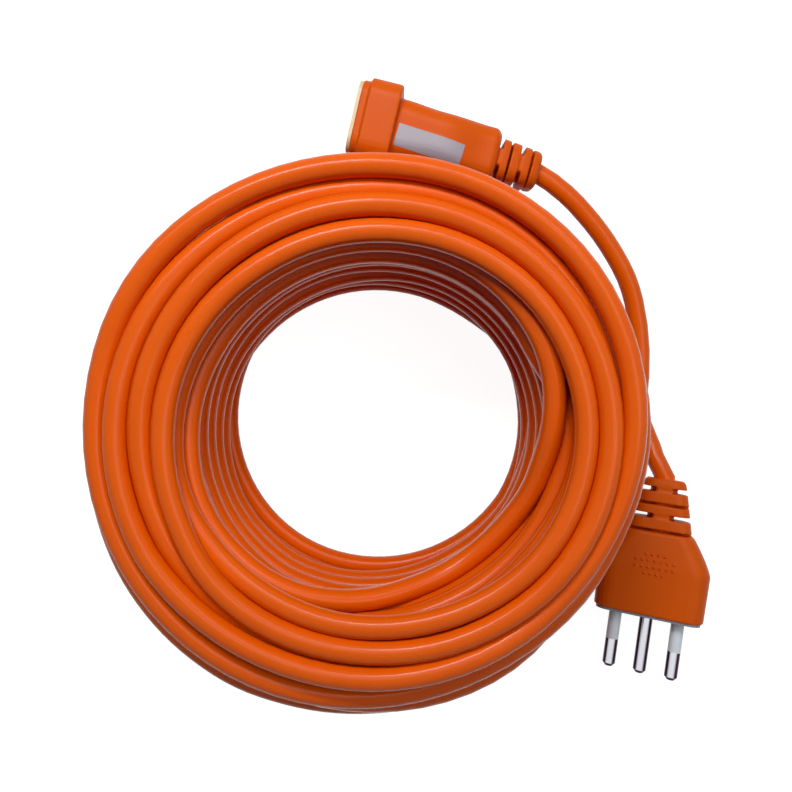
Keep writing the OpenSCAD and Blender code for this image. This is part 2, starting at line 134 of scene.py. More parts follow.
# The turns that show at the top, clockwise, every TOP_STEP degrees: radius and height of the
# cord's middle line. They come up the outer wall, run inwards and sag into the hole.
TOP_TURNS = [
    (65.5, 49), (74, 52.5), (73, 56), (71.5, 57), (69.5, 57), (68, 56.5),
    (67, 56), (66.5, 55.5), (66, 55),
    (66.5, 55), (68, 55.5), (70.5, 57), (67, 60), (67.2, 61.5), (69.3, 62.5),
    (69.8, 65), (69.5, 66.5), (68.7, 66.8), (66.8, 69.5), (64, 70), (62.5, 70),
    (64, 70), (65, 70), (64.5, 70), (63, 66.5), (62.3, 68.5), (62.3, 70),
    (61.8, 70), (63.2, 70.5), (62.8, 70), (62, 69), (60, 67.3), (58.8, 67),
    (60.3, 66), (60.5, 64.5), (60, 64.5), (59, 64.5), (58.5, 64.5), (58.5, 64.5),
    (58.5, 65), (58, 67), (57, 70), (55, 70), (53.6, 70), (53.6, 70),
    (54.8, 70), (56.8, 70), (58.5, 70), (59, 70), (57.5, 70), (55.7, 70),
    (54.8, 70), (53, 70), (51, 70), (49, 70), (47, 70), (47.2, 70),
    (49, 70), (51.2, 70), (52.8, 70), (53, 70), (51, 70), (49.5, 70),
    (50, 69), (51.5, 65), (50.5, 64.5), (48, 64), (46.3, 63.5), (46.8, 62.5),
    (48, 63.5), (48, 66), (46.5, 63), (46, 53), (45.5, 50), (46, 57),
    (48.5, 63), (50, 60), (48.5, 58), (46.5, 56), (45.6, 53), (46.3, 53),
    (47, 54), (48.5, 56), (50.5, 58), (51, 58), (50.5, 57.5)]
TOP_STEP = 30
TOP_FROM = 330              # angle of the first

# The hole is not quite round: the radius of its edge every EDGE_STEP degrees, for the turn on the
# floor and for the wall above it.
FLOOR_EDGE = [48.4, 48, 45.6, 44.3, 44.2, 46.6, 45.2, 44.2, 44.5, 44.1, 46.2, 48.2]
WALL_EDGE = [48, 46.8, 45.6, 43.8, 43, 44.6, 46, 47.5, 48.5, 47.5, 47, 48.2]
EDGE_STEP = 30
WALL_FROM = 8               # height from which the wall's own edge holds

FLOOR_Z = CORD_D / 2        # height of a cord that lies on the floor
ROW = 5.2                   # height of a row of turns nested on the row below
COLUMN = CORD_D             # distance from one column of turns to the next
INNER_R = HOLE_R + CORD_D / 2
BULGE = 0.5                 # how far the outer wall's turns stand past the coil's radius
OUTER_R = COIL_R - CORD_D / 2 + BULGE
COLUMN_ROWS = (11, 13, 12)  # rows in the inner, the middle and the outer hidden column
SET_BACK_ROWS, SET_BACK = (2, 6), 2.0   # rows whose innermost turn lies a little further out
EMPTY_ROW = 5               # row of the outer column that is left out

# Degrees at which the cord changes from one run of turns to the next.
ENTRY = -140                # the socket's tail joins the coil
ON_FLOOR = (10, 110, 235)   # past ENTRY, the cord lies on the floor at the outer wall
CLIMB_FROM = 250            # past ENTRY, it starts to climb the outer wall
HIDDEN_FROM = 60            # past the last top turn, it reaches the hidden columns
LEAD_OUT = 20               # before EXIT, it leaves them
EXIT = 351                  # the plug's tail leaves the coil

OUTER_TURNS = 5             # whole turns that climb the outer wall
HIDDEN_SHARE = 0.978        # turns for each place in the hidden rows, which leaves a few empty
CROSS = 0.14                # share of a turn in which the cord steps to its next place
CLIMB_CROSS = 0.3           # the same for the turns on the outer wall

SETTLE_STEPS = 300
LATE_FROM, LATE_PULL = 0.75, 0.25       # from this share of the steps, pulls are this much as firm
PUSHES = 2                              # times the turns are pushed apart in each step
PULL_TOP, PULL_HIDDEN = 0.15, 0.02      # how firmly a turn is drawn back to its own line
SMOOTHING = 0.25                        # how firmly it is drawn to the middle of its neighbours
PUSH = 0.6                              # share of an overlap that one push takes away
TOP_WEIGHT = 0.35                       # how easily a top turn gives way, a hidden one being 1
EDGE_GIVE = 0.2                         # how far a turn may pass the hole's edge
FREE_RINGS = 4                          # points of each tail that may give way beside the coil
SAME_POINT = 2                          # distance within which two points of the line are one

# ---------- moulded ends ----------

SLIT, NOTCH = 0.2, 0.36     # share of a rib's pitch that its gap takes
LINK = dict(w=4.8, inset=0.3, lap=0.4, corner=0.4)      # what joins one rib to the next
CORE_SUNK, CORE_SHORT = 1.0, 0.3        # how the tube inside the ribs starts and ends in them

PLUG_CORNER = 5.6
PLUG_TAPER = 1.25           # power of the curve by which the plug narrows to its relief
COLLAR_STEP = 0.4           # rounding of the collar's rear edge
LIP = dict(inset=1.0, back=3.2, corner=4.5, edge=0.3)   # the smaller front of the collar
WAIST_T, WAIST_AHEAD = 15.8, 3          # the socket is thinnest just ahead of its shoulders
SHOULDER_TAPER = 2          # power of the curve by which the shoulders close on the relief

# Sections near a body's end: how far ahead of the end each lies, and how much wider and thicker
# it is than the strain relief's first rib.
PLUG_NECK = dict(ahead=0.6, wider=2.0, thicker=1.4, corner=5.0)
PLUG_END = dict(ahead=0.0, wider=0.4, thicker=0.4, corner=4.5)
SHOULDER_END = dict(ahead=2.2, wider=4.0, thicker=4.0, corner=SOCKET_CORNER)
SOCKET_NECK = dict(ahead=0.0, wider=1.0, thicker=1.0, corner=4.5)

FRONT_EDGE = 0.4            # rounding of the plug's and the collar's front edge
BREAK = 0.1                 # depth over which a skin steps from one size to another
POCKET_OUT = 0.5            # a pocket's cutter stands this far out of the front
LEAST_FLAT = 0.01           # least flat that a corner leaves on half a side
CORNER_ARC, ROUND_ARC = 6, 8            # pieces of a quarter arc: at a corner, and of a round
EDGE_STEPS = 4              # sections in a rounded edge
EDGE_CORNER = 0.6           # share of an edge's rounding that its corner loses
VOXEL = 0.3                 # size of the cells that a body's skin is made from
SMOOTH_PASSES, SMOOTH_FACTOR = 3, 0.5

DOT_ROWS = (4, 7, 7, 4)     # raised grip dots on each broad side of the plug
DOT_PITCH, DOT_ROW_PITCH, DOT_R, DOT_H = 1.87, 2.0, 0.5, 0.34
DOTS_AT = -17.0             # middle of the dots, on the plug's axis
DOT_MESH = dict(u_segments=12, v_segments=6)
STICKER = dict(x=-23.6, z=-2.9, length=20.2, height=6.3, turn=3.4, thick=0.16)
STICKER_GRID = (24, 10)
OUTSIDE = 30                # distance from an end's axis that is outside its skin

# ---------- surfaces ----------

DRIFT_SCALE, DRIFT_DETAIL = 60, 3       # the noise that drifts between a surface's two tones
DRIFT_RANGE, DRIFT_SHARE = (0.35, 0.7), 0.35    # its values in use, and the most it mixes in
GRAIN_DETAIL = 2
ROUGH_VARIES = 0.05                     # how far the roughness goes up and down
BUMP_DISTANCE = 0.0001                  # in metres
PAINTED_EDGE_BLEND, PAINTED_EDGE_RANGE = 0.5, (0.07, 0.22)        # how far a surface turns away as its painted dark edge sets in
# painted dark reflection along the pins' edges, in place of what their metal would mirror there
PIN_PAINTED_EDGE_SHADE = (0.03, 0.012, 0.022, 1)

# ---------- light ----------

WHITE = (1, 1, 1, 1)
AMBIENT = 0.04
FLOOR_SIZE, FLOOR_AT, FLOOR_ROUGH = 3.0, -0.0002, 0.8
FLOOR_GREY, FLOOR_LIFT = 0.3, 0.94      # the light on this grey and this glow add up to white
LAMPS = dict(
    key=dict(at=(0.0, 0.2, 0.34), towards=(0, 0, 0.05), size=(0.5, 0.04), power=0.5),
    glint=dict(at=(-0.06, 0.19, 0.34), towards=(0, 0, 0.05), size=(0.12, 0.015), power=0.42),
    fill=dict(at=(0.2, 0.22, 0.9), towards=(0, 0, 0), size=(1.2, 0.4), power=4.0))

# ---------- places ----------


def round_coil(angle, off, z=0.0):
    """A point at an angle round the coil, a distance outside its outer wall, at height z."""
    a = math.radians(angle)
    r = COIL_R + off
    return np.array([COIL_AT[0] + r * math.cos(a), COIL_AT[1] + r * math.sin(a), z])


def place(end):
    """The matrix that lays an end's own frame, with its face on x = 0, in its place."""
    at = round_coil(end["bearing"], end["off"], end["z"])
    return (Matrix.Translation(Vector(at)) @ Matrix.Rotation(math.radians(end["turn"]), 4, "Z")
            @ Matrix.Rotation(math.radians(end["roll"]), 4, "X"))


IN_PLUG = place(PLUG)
IN_SOCKET = place(SOCKET)


def in_metres(matrix):
    """The same place as a matrix for meshes in metres."""
    return Matrix.Translation(matrix.translation * MM) @ matrix.to_3x3().to_4x4()


def on_axis(matrix, depths):
    """Points on an end's axis, each a depth behind its face."""
    return [np.array(matrix @ Vector((-depth, 0, 0))) for depth in depths]


def linked(name, data):
    """A new object with this data, in the scene."""
    obj = bpy.data.objects.new(name, data)
    bpy.context.scene.collection.objects.link(obj)
    return obj


def make_camera():
    """A camera that looks straight down. Its shift puts the point below it at BELOW_PX."""
    data = bpy.data.cameras.new("camera")
    data.sensor_width = SENSOR_MM
    data.lens = FOCAL_PX / IMAGE_PX * SENSOR_MM
    data.clip_start = CLIP_START
    data.shift_x = 0.5 - BELOW_PX[0] / IMAGE_PX
    data.shift_y = BELOW_PX[1] / IMAGE_PX - 0.5
    camera = linked("camera", data)
    camera.location = CAMERA_AT
    bpy.context.scene.camera = camera


# ---------- the cord's route ----------


def row_height(k):
    """Height of the turns in row k, the floor's being row 0."""
    return FLOOR_Z + ROW * k


def column_place(column, k):
    """Radius and height of a place: every second row is nested half a diameter further out."""
    back = SET_BACK if column == 0 and k in SET_BACK_ROWS else 0
    return (INNER_R + COLUMN * column + (k % 2) * COLUMN / 2 + back, row_height(k))


def hidden_places():
    """Places of the hidden turns in order: down the inner column, out along the floor, up the
    middle column and down the outer one."""
    inner, middle, outer = COLUMN_ROWS
    down_inner = [column_place(0, k) for k in range(inner - 1, -1, -1)]
    along_floor = [column_place(column, 0) for column in (1, 2)]
    up_middle = [column_place(1, k) for k in range(1, middle)]
    down_outer = [column_place(2, k) for k in range(outer - 1, 0, -1) if k != EMPTY_ROW]
    return down_inner + along_floor + up_middle + down_outer


def hole_edge(angle, z):
    """Radius of the hole's edge at angles and heights."""
    at = np.mod(angle, 360.0)
    every = np.arange(0, 361, EDGE_STEP)
    low, high = (np.interp(at, every, edge + edge[:1]) for edge in (FLOOR_EDGE, WALL_EDGE))
    share = np.clip((z - FLOOR_Z) / (WALL_FROM - FLOOR_Z), 0, 1)
    return low + (high - low) * share


def stepped(start, end, places, cross):
    """Knots of a cord that stays at each place in turn and steps to the next, from angle start
    down to angle end."""
    share = (start - end) / len(places)
    half = cross * 360 / 2
    knots = []
    for i, (r, z) in enumerate(places):
        near, far = start - i * share, start - (i + 1) * share
        knots += [(near - half, r, z), ((near + far) / 2, r, z), (far + half, r, z)]
    return knots


def cord_knots():
    """Knots (angle, radius, height) of the whole cord outside its two ends, clockwise, so that
    the angle only falls. Also the angles between which the top turns lie."""
    knots = [(a, COIL_R + off, z) for a, off, z in SOCKET_ROUTE]
    knots += [(ENTRY - past, OUTER_R, FLOOR_Z) for past in ON_FLOOR]
    top_start = TOP_FROM - 360 * (OUTER_TURNS + 1)
    every_second = range(2, 2 * OUTER_TURNS, 2)
    climb = [(OUTER_R, row_height(k)) for k in every_second]
    knots += stepped(ENTRY - CLIMB_FROM, top_start, climb, CLIMB_CROSS)
    knots += [(top_start - TOP_STEP * i, r, z) for i, (r, z) in enumerate(TOP_TURNS)]
    top_end = knots[-1][0]
    hidden = hidden_places()
    leave = EXIT - LEAD_OUT
    rounds = round((leave - top_end + HIDDEN_SHARE * 360 * len(hidden)) / 360)
    knots += stepped(top_end - HIDDEN_FROM, leave - 360 * rounds, hidden, CROSS)
    knots += [(a - 360 * rounds, COIL_R + off, z) for a, off, z in reversed(PLUG_ROUTE)]
    return np.array(knots), top_start, top_end


def cubic(t, from_value, from_slope, to_value, to_slope):
    """A cubic from one value to another as t runs from 0 to 1, with a slope at each end."""
    return ((2 * t**3 - 3 * t**2 + 1) * from_value + (t**3 - 2 * t**2 + t) * from_slope
            + (3 * t**2 - 2 * t**3) * to_value + (t**3 - t**2) * to_slope)


def eased_curve(x, y, at):
    """A curve through points (x, y), x rising, that never swings past them."""
    run = np.diff(x)
    slope = np.diff(y) / run
    lead, lag = 2 * run[1:] + run[:-1], run[1:] + 2 * run[:-1]
    same = slope[:-1] * slope[1:] > 0
    safe = np.where(same, slope[:-1] * slope[1:], 1)
    bend = (lead + lag) * safe / (lead * slope[1:] + lag * slope[:-1] + (~same) / TINY)
    tangent = np.concatenate([slope[:1], np.where(same, bend, 0), slope[-1:]])
    i = np.clip(np.searchsorted(x, at, side="right") - 1, 0, len(x) - 2)
    return cubic((at - x[i]) / run[i], y[i], run[i] * tangent[i], y[i + 1],
                 run[i] * tangent[i + 1])


def settle(angle, r, z, held, top):
    """Pushes the turns apart, slice by slice round the coil, until they lie beside and on each
    other a diameter apart, while each stays smooth along its length."""
    count = len(angle)
    turns = -(-count // PER_TURN)
    pad = turns * PER_TURN - count

    def slices(values, fill=0.0):
        return np.concatenate([values, np.full(pad, fill)]).reshape(turns, PER_TURN)

    aim_r, aim_z = r.copy(), z.copy()
    weight = slices(np.where(held, 0.0, np.where(top, TOP_WEIGHT, 1.0)))
    share = weight[:, None, :] / (weight[:, None, :] + weight[None, :, :] + TINY)
    far_off = slices(np.zeros(count), FAR) * (1 + np.arange(turns))[:, None]
    itself = np.eye(turns, dtype=bool)[:, :, None]
    pull = np.where(held, 0.0, np.where(top, PULL_TOP, PULL_HIDDEN))
    hidden = ~(held | top)
    least_z = np.where(held, 0.0, FLOOR_Z)
    smooth = np.where(held, 0.0, SMOOTHING)[1:-1]
    for step in range(SETTLE_STEPS):
        ease = LATE_PULL if step > LATE_FROM * SETTLE_STEPS else 1.0
        r += pull * ease * (aim_r - r)
        z += pull * ease * (aim_z - z)
        r[1:-1] += smooth * ((r[:-2] + r[2:]) / 2 - r[1:-1])
        z[1:-1] += smooth * ((z[:-2] + z[2:]) / 2 - z[1:-1])
        for _ in range(PUSHES):
            slice_r, slice_z = slices(r) + far_off, slices(z)
            dr = slice_r[:, None, :] - slice_r[None, :, :]
            dz = slice_z[:, None, :] - slice_z[None, :, :]
            apart = np.where(itself, 1 / TINY, np.sqrt(dr * dr + dz * dz) + TINY)
            force = np.clip(CORD_D - apart, 0, None) / apart * share * PUSH
            r += (force * dr).sum(1).reshape(-1)[:count]
            z += (force * dz).sum(1).reshape(-1)[:count]
            least_r = np.where(hidden, hole_edge(angle, z) + CORD_D / 2 - EDGE_GIVE, 0.0)
            r, z = np.maximum(r, least_r), np.maximum(z, least_z)
    return r, z


def cord_line():
    """The cord's middle line, from inside the socket to inside the plug."""
    knots, top_start, top_end = cord_knots()
    count = int((knots[0, 0] - knots[-1, 0]) // RING_STEP) + 1
    angle = knots[0, 0] - RING_STEP * np.arange(count)
    r, z = (eased_curve(-knots[:, 0], knots[:, k], -angle) for k in (1, 2))
    first = int((knots[0, 0] - ENTRY) / RING_STEP) - FREE_RINGS
    last = count - PER_TURN + FREE_RINGS        # the plug's tail runs once round the coil
    held = (np.arange(count) < first) | (np.arange(count) > last)
    top = (angle <= top_start) & (angle >= top_end)
    hidden = (angle < top_end) & ~held
    # The hidden turns follow the hole's uneven edge, less so the further out they lie.
    wider = hole_edge(angle, z) - HOLE_R
    r += np.where(hidden, wider * np.clip((COIL_R - r) / (COIL_R - INNER_R), 0, 1), 0)
    r, z = settle(angle, r, z, held, top)
    a = np.radians(angle)
    wound = np.stack([COIL_AT[0] + r * np.cos(a), COIL_AT[1] + r * np.sin(a), z], axis=1)
    last_knot = round_coil(*PLUG_ROUTE[0])
    if np.linalg.norm(wound[-1] - last_knot) > SAME_POINT:
        wound = np.vstack([wound, last_knot])
    in_socket = on_axis(IN_SOCKET, (SOCKET_SHEATH_AT, SOCKET_LEN, SOCKET_LEN + SOCKET_RELIEF / 2,
                                    SOCKET_LEN + SOCKET_RELIEF))
    in_plug = on_axis(IN_PLUG, (PLUG_LEN + PLUG_RELIEF, PLUG_LEN + PLUG_RELIEF / 2, PLUG_LEN,
                                PLUG_SHEATH_AT))
    return np.vstack([in_socket, wound, in_plug])


def rounded_line(points, spacing):
    """A smooth curve through points, with a point about every `spacing`."""
    ends = np.vstack([2 * points[0] - points[1], points, 2 * points[-1] - points[-2]])
    out = []
    for i in range(1, len(ends) - 2):
        p0, p1, p2, p3 = ends[i - 1:i + 3]
        d01, d12, d23 = (math.sqrt(np.linalg.norm(b - a)) for a, b in
                         ((p0, p1), (p1, p2), (p2, p3)))
        m1 = d12 * ((p1 - p0) / d01 - (p2 - p0) / (d01 + d12)) + (p2 - p1)
        m2 = d12 * ((p3 - p2) / d23 - (p3 - p1) / (d12 + d23)) + (p2 - p1)
        steps = max(1, round(np.linalg.norm(p2 - p1) / spacing))
        out += [cubic(t, p1, m1, p2, m2) for t in np.arange(steps) / steps]
    return np.array(out + [points[-1]])


def tube(name, line, radius, sides):
    """A closed tube along a line, whose rings turn as little as they can."""
    along = np.gradient(line, axis=0)
    along /= np.linalg.norm(along, axis=1)[:, None]
    side = np.cross(along[0], (0, 0, 1.0))
    side /= np.linalg.norm(side)
    turn = np.arange(sides) * 2 * math.pi / sides
    verts = []
    for centre, ahead in zip(line, along):
        side = side - ahead * (side @ ahead)
        side /= np.linalg.norm(side)
        up = np.cross(side, ahead)
        verts.append(centre + radius * (np.cos(turn)[:, None] * side + np.sin(turn)[:, None] * up))
    verts = np.vstack(verts) * MM
    rings = len(line)
    i, k = np.meshgrid(np.arange(rings - 1), np.arange(sides), indexing="ij")
    j = (k + 1) % sides
    faces = np.stack([i * sides + k, (i + 1) * sides + k, (i + 1) * sides + j, i * sides + j],
                     axis=-1).reshape(-1, 4).tolist()
    faces += [list(range(sides)), list(range(rings * sides - 1, (rings - 1) * sides - 1, -1))]
    mesh = bpy.data.meshes.new(name)
    mesh.from_pydata(verts.tolist(), [], faces)
    mesh.update()
    mesh.shade_smooth()
    return linked(name, mesh)


# ---------- moulded bodies ----------


def bar_section(x, width, thick, corner, arc=CORNER_ARC):
    """Points of a rounded rectangle at depth x, one quarter arc after the other."""
    corner = min(corner, width / 2 - LEAST_FLAT, thick / 2 - LEAST_FLAT)
    points = []
    for quarter, (sy, sz) in enumerate(((1, 1), (-1, 1), (-1, -1), (1, -1))):
        for i in range(arc + 1):
            a = math.radians(90 * (quarter + i / arc))
            points.append(Vector((x, sy * (width / 2 - corner) + corner * math.cos(a),
                                  sz * (thick / 2 - corner) + corner * math.sin(a))))
    return points


def add_loft(bm, sections):
    """A closed skin over sections, each (x, width, thickness, corner), into bm."""
    rings = [[bm.verts.new(p * MM) for p in bar_section(*s)] for s in sections]
    for near, far in zip(rings, rings[1:]):
        for k in range(len(near)):
            j = (k + 1) % len(near)
            bm.faces.new((near[k], near[j], far[j], far[k]))
    bm.faces.new(list(reversed(rings[0])))
    bm.faces.new(rings[-1])


def eased(t):
    """A share that starts and ends slowly."""
    return t * t * (3 - 2 * t)


def blended(a, b, count, ease=eased):
    """Sections from a, left out, to b, whose width and thickness ease from one to the other."""
    out = []
    for i in range(1, count + 1):
        t = i / count
        size = tuple(p + (q - p) * ease(t) for p, q in zip(a[1:], b[1:]))
        out.append((a[0] + (b[0] - a[0]) * t,) + size)
    return out


def rounded_end(section, radius):
    """Sections that round the front edge of a body that starts with section."""
    x, width, thick, corner = section
    out = []
    for i in range(EDGE_STEPS + 1):
        a = math.radians(90 * i / EDGE_STEPS)
        pull = radius * (1 - math.sin(a))
        out.append((x - radius * (1 - math.cos(a)), width - 2 * pull, thick - 2 * pull,
                    corner - pull * EDGE_CORNER))
    return out


def to_object(bm, name, matrix):
    """An object from bm, moved from an end's own frame to its place."""
    bmesh.ops.recalc_face_normals(bm, faces=bm.faces)
    mesh = bpy.data.meshes.new(name)
    bm.to_mesh(mesh)
    bm.free()
    mesh.transform(in_metres(matrix))
    return linked(name, mesh)


def apply_modifiers(obj):
    """Puts an object's modifiers into its mesh."""
    graph = bpy.context.evaluated_depsgraph_get()
    mesh = bpy.data.meshes.new_from_object(obj.evaluated_get(graph))
    old = obj.data
    obj.modifiers.clear()
    obj.data = mesh
    bpy.data.meshes.remove(old)


def relief_size(t):
    """Width and thickness of a strain relief at share t of its length."""
    return (RELIEF["w"] + (RELIEF["end_w"] - RELIEF["w"]) * t,
            RELIEF["t"] + (RELIEF["end_t"] - RELIEF["t"]) * t)


def add_core(bm, at, length):
    """The round tube inside a strain relief that starts at a depth."""
    core = RELIEF["core"]
    add_loft(bm, [(x, 2 * core, 2 * core, core, ROUND_ARC) for x in
                  (-at + CORE_SUNK, -at - length + CORE_SHORT)])


def add_relief(bm, at, length, gap_shares):
    """Ribs round a tube, each joined to the next by links at the narrow or the broad sides."""
    add_core(bm, at, length)
    corner, edge = RELIEF["corner"], RELIEF["edge"]
    pitch = length / RELIEF["ribs"]
    for i in range(RELIEF["ribs"]):
        gap = pitch * gap_shares[i % 2]
        start, end = -at - i * pitch - gap, -at - (i + 1) * pitch
        w0, t0 = relief_size((i * pitch + gap) / length)
        w1, t1 = relief_size((i + 1) * pitch / length)
        if i < RELIEF["ribs"] - 1:
            rib_end = [(end, w1, t1, corner)]
        else:
            rib_end = [(end + edge, w1, t1, corner),
                       (end, w1 - 2 * edge, t1 - 2 * edge, corner - edge)]
        add_loft(bm, [(start, w0, t0, corner)] + rib_end)
        near = start + gap + (CORE_SUNK if i == 0 else LINK["lap"])
        if i % 2 == 0:
            wide, thick = w0 - LINK["inset"], LINK["w"]
        else:
            wide, thick = LINK["w"], t0 - LINK["inset"]
        add_loft(bm, [(x, wide, thick, LINK["corner"]) for x in (near, start - LINK["lap"])])


def join_shells(obj):
    """One closed skin over all the shells of obj, with its edges a little rounded."""
    skin = obj.modifiers.new("skin", "REMESH")
    skin.mode = "VOXEL"
    skin.voxel_size = VOXEL * MM
    skin.use_smooth_shade = True
    soft = obj.modifiers.new("soft", "SMOOTH")
    soft.factor = SMOOTH_FACTOR
    soft.iterations = SMOOTH_PASSES
    apply_modifiers(obj)


def cut_pocket(obj, size, matrix):
    """Cuts room for an inner piece of this size into the front of an end."""
    bm = bmesh.new()
    add_loft(bm, [(x, size["w"] + 2 * SEAT, size["t"] + 2 * SEAT, size["corner"] + SEAT)
                  for x in (POCKET_OUT, -size["depth"] - SEAT)])
    tool = to_object(bm, obj.name + "_pocket", matrix)
    cut = obj.modifiers.new("cut", "BOOLEAN")
    cut.operation = "DIFFERENCE"
    cut.solver = "EXACT"
    cut.object = tool
    apply_modifiers(obj)
    bpy.data.objects.remove(tool)


def moulded(name, sections, relief_at, relief_len, gap_shares, inner, matrix):
    """A moulded end: its body, its strain relief and the room for its inner piece."""
    bm = bmesh.new()
    add_loft(bm, sections)
    add_relief(bm, relief_at, relief_len, gap_shares)
    obj = to_object(bm, name, matrix)
    join_shells(obj)
    cut_pocket(obj, inner, matrix)
    obj.data.shade_smooth()
    return obj


def near_end(length, size):
    """A section near the end of a body of this length, sized from the strain relief's."""
    return (-length + size["ahead"], RELIEF["w"] + size["wider"], RELIEF["t"] + size["thicker"],
            size["corner"])


def plug_body():
    """The plug's moulded body, which tapers to its strain relief."""
    face = (-PLUG_FRONT, PLUG_W, PLUG_T, PLUG_CORNER)
    straight = (-PLUG_STRAIGHT, PLUG_W + PLUG_SWELL, PLUG_T, PLUG_CORNER)
    neck = near_end(PLUG_LEN, PLUG_NECK)
    sections = (rounded_end(face, FRONT_EDGE) + blended(face, straight, count=4)
                + blended(straight, neck, count=10, ease=lambda t: t ** PLUG_TAPER)
                + [near_end(PLUG_LEN, PLUG_END)])
    return moulded("plug_body", sections, PLUG_LEN, PLUG_RELIEF, (SLIT, NOTCH), BRIDGE,
                   IN_PLUG)


def socket_body():
    """The socket's moulded body: lip, collar, waist and shoulders."""
    lip = (COLLAR_W - 2 * LIP["inset"], COLLAR_T - 2 * LIP["inset"], LIP["corner"])
    collar = (-LIP["back"] - BREAK, COLLAR_W, COLLAR_T, SOCKET_CORNER)
    collar_end = (-COLLAR_BACK + COLLAR_STEP, COLLAR_W, COLLAR_T, SOCKET_CORNER)
    step = (-COLLAR_BACK, COLLAR_W - 2 * COLLAR_STEP, COLLAR_T - 2 * COLLAR_STEP, SOCKET_CORNER)
    body = (-COLLAR_BACK - BREAK, SOCKET_W, SOCKET_T, SOCKET_CORNER)
    waist = (-COLLAR_BACK - SOCKET_STRAIGHT + WAIST_AHEAD, SOCKET_W, WAIST_T, SOCKET_CORNER)
    shoulder = near_end(SOCKET_LEN, SHOULDER_END)
    neck = near_end(SOCKET_LEN, SOCKET_NECK)
    sections = (rounded_end((-SOCKET_FRONT,) + lip, LIP["edge"]) + [(-LIP["back"],) + lip]
                + rounded_end(collar, FRONT_EDGE) + [collar_end, step, body]
                + blended(body, waist, count=6) + blended(waist, shoulder, count=10)
                + blended(shoulder, neck, count=5, ease=lambda t: t ** SHOULDER_TAPER))
    return moulded("socket_body", sections, SOCKET_LEN, SOCKET_RELIEF, (NOTCH, SLIT), TRAY,
                   IN_SOCKET)


def surface_finder(obj, matrix):
    """A function that finds the skin of obj from a point and a direction in an end's frame."""
    whole = in_metres(matrix)
    back = whole.inverted()
    tree = BVHTree.FromObject(obj, bpy.context.evaluated_depsgraph_get())

    def find(point, direction):
        hit = tree.ray_cast(whole @ (Vector(point) * MM), whole.to_3x3() @ Vector(direction))
        return (back @ hit[0]) / MM

    return find


def grip_dots(shell):
    """Rows of flat domes on both broad sides of the plug."""
    find = surface_finder(shell, IN_PLUG)
    dome = Matrix.Diagonal((DOT_R, DOT_R, DOT_H, 1))
    bm = bmesh.new()
    for side in (1, -1):
        for row, count in enumerate(DOT_ROWS):
            x = DOTS_AT + (row - (len(DOT_ROWS) - 1) / 2) * DOT_ROW_PITCH
            for i in range(count):
                y = (i - (count - 1) / 2) * DOT_PITCH
                at = find((x, y, side * OUTSIDE), (0, 0, -side))
                bmesh.ops.create_uvsphere(bm, radius=MM, matrix=Matrix.Translation(at * MM) @ dome,
                                          **DOT_MESH)
    obj = to_object(bm, "grip_dots", IN_PLUG)
    obj.data.shade_smooth()
    return obj


def blank_sticker(shell):
    """A thin plate that follows the skin of the socket's narrow side."""
    find = surface_finder(shell, IN_SOCKET)
    columns, rows = STICKER_GRID
    turn = Matrix.Rotation(math.radians(STICKER["turn"]), 2)
    bm = bmesh.new()
    outer, inner = [], []
    for i in range(columns + 1):
        for j in range(rows + 1):
            u = turn @ Vector(((i / columns - 0.5) * STICKER["length"],
                               (j / rows - 0.5) * STICKER["height"]))
            at = find((STICKER["x"] + u.x, OUTSIDE, STICKER["z"] + u.y), (0, -1, 0))
            half = Vector((0, STICKER["thick"] / 2, 0))
            outer.append(bm.verts.new((at + half) * MM))
            inner.append(bm.verts.new((at - half) * MM))
    step = rows + 1
    rim = ([i * step for i in range(columns + 1)]
           + [columns * step + j for j in range(1, step)]
           + [i * step + rows for i in range(columns - 1, -1, -1)]
           + list(range(rows - 1, 0, -1)))
    for i in range(columns):
        for j in range(rows):
            a, b = i * step + j, (i + 1) * step + j
            bm.faces.new([outer[k] for k in (a, b, b + 1, a + 1)])
            bm.faces.new([inner[k] for k in (a + 1, b + 1, b, a)])
    for a, b in zip(rim, rim[1:] + rim[:1]):
        bm.faces.new((outer[a], outer[b], inner[b], inner[a]))
    return to_object(bm, "sticker", IN_SOCKET)


# ---------- materials ----------


def srgb(r, g, b):
    """Linear colour of a colour given as 0-255 values of a picture."""
    return tuple((c / 255 / 12.92) if c <= 10 else ((c / 255 + 0.055) / 1.055) ** 2.4
                 for c in (r, g, b)) + (1.0,)


def noise(tree, place_at, scale, detail):
    """The value of a noise with this scale and detail."""
    node = tree.nodes.new("ShaderNodeTexNoise")
    node.inputs["Scale"].default_value = scale
    node.inputs["Detail"].default_value = detail
    tree.links.new(place_at, node.inputs["Vector"])
    return node.outputs["Fac"]


def mapped(tree, value, low=(0, 1), high=(0, 1)):
    """A value mapped from the range low to the range high."""
    node = tree.nodes.new("ShaderNodeMapRange")
    for key, number in zip(("From Min", "From Max", "To Min", "To Max"), low + high):
        node.inputs[key].default_value = number
    tree.links.new(value, node.inputs["Value"])
    return node.outputs["Result"]


def mixed(tree, colour, other, share):
    """A colour, given as values or as a socket, mixed with another by a share."""
    node = tree.nodes.new("ShaderNodeMix")
    node.data_type = "RGBA"
    if isinstance(colour, tuple):
        node.inputs["A"].default_value = colour
    else:
        tree.links.new(colour, node.inputs["A"])
    node.inputs["B"].default_value = other
    tree.links.new(share, node.inputs["Factor"])
    return node.outputs["Result"]


